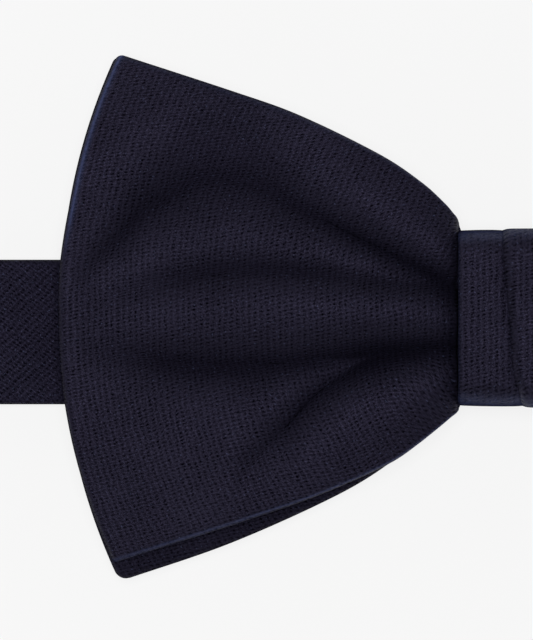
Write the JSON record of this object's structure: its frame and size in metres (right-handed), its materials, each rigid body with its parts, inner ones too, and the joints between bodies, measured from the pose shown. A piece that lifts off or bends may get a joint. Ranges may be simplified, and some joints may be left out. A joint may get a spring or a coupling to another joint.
{
  "type": "bow tie",
  "caption": "Pre-tied bow tie with pleated wings, a wrapped knot and an adjustable neckband that closes with a hook and eye, lying face up.",
  "frame": {"origin": "under the middle of the whole object's box, on the table it lies on", "axes": "+X along the neckband towards the slider's side, +Y towards the top of the bow as worn, +Z out of the bow's face"},
  "size_m": [0.2334, 0.064, 0.0152],
  "materials": {
    "bow_cloth": "dark navy twill with a soft sheen",
    "band_cloth": "the same twill, cut on the bias",
    "interlining": "natural woven interlining",
    "thread": "navy sewing thread",
    "steel": "bright nickel plate"
  },
  "bodies": {
    "bow": {"bow_front_panel": "bow_cloth", "bow_front_interlining": "interlining", "bow_back_panel_left": "bow_cloth", "bow_back_interlining_left": "interlining", "bow_back_panel_right": "bow_cloth", "bow_back_interlining_right": "interlining", "knot_wrap": "bow_cloth", "knot_interlining": "interlining", "waist_binding": "thread", "knot_closing_stitch": "thread", "neckband_front_run": "band_cloth", "neckband_front_interlining": "interlining", "neckband_turn_left": "band_cloth", "neckband_turn_right": "band_cloth"},
    "left_strap": {"neckband_left_strap": "band_cloth", "neckband_left_interlining": "interlining", "eye_bartack": "thread"},
    "right_strap": {"neckband_right_strap": "band_cloth", "neckband_right_interlining": "interlining"},
    "slider": {"slider": "steel", "adjuster_strap": "band_cloth", "adjuster_return": "band_cloth"},
    "hook_end": {"adjuster_turn": "band_cloth"},
    "hook": {"hook": "steel"},
    "eye": {"eye": "steel"}
  },
  "joints": [
    {"name": "left_fold", "type": "hinge", "parent": "bow", "child": "left_strap", "pos_m": [-0.1156, -0.00189, 0.0017], "axis": [0, 1, 0], "range_deg": [0, 180], "deforming": ["neckband_turn_left"]},
    {"name": "right_fold", "type": "hinge", "parent": "bow", "child": "right_strap", "pos_m": [0.1156, -0.00189, 0.0017], "axis": [0, -1, 0], "range_deg": [0, 180], "deforming": ["neckband_turn_right"]},
    {"name": "slider_travel", "type": "slide", "parent": "right_strap", "child": "slider", "axis": [1, 0, 0], "range_m": [0, 0.012], "deforming": ["adjuster_strap", "adjuster_return"]},
    {"name": "hook_travel", "type": "slide", "parent": "slider", "child": "hook_end", "axis": [1, 0, 0], "range_m": [-0.006, 0], "deforming": ["adjuster_strap", "adjuster_return"]},
    {"name": "hook_swivel", "type": "hinge", "parent": "hook_end", "child": "hook", "pos_m": [0.0486, -0.00189, 0.0021], "axis": [0, -1, 0], "range_deg": [-3, 60]},
    {"name": "eye_swivel", "type": "hinge", "parent": "left_strap", "child": "eye", "pos_m": [0.025, -0.00189, 0.0021], "axis": [0, 1, 0], "range_deg": [-8, 60]}
  ],
  "couplings": [
    {"joint": "hook_travel", "follows": "slider_travel", "ratio": -0.5}
  ]
}
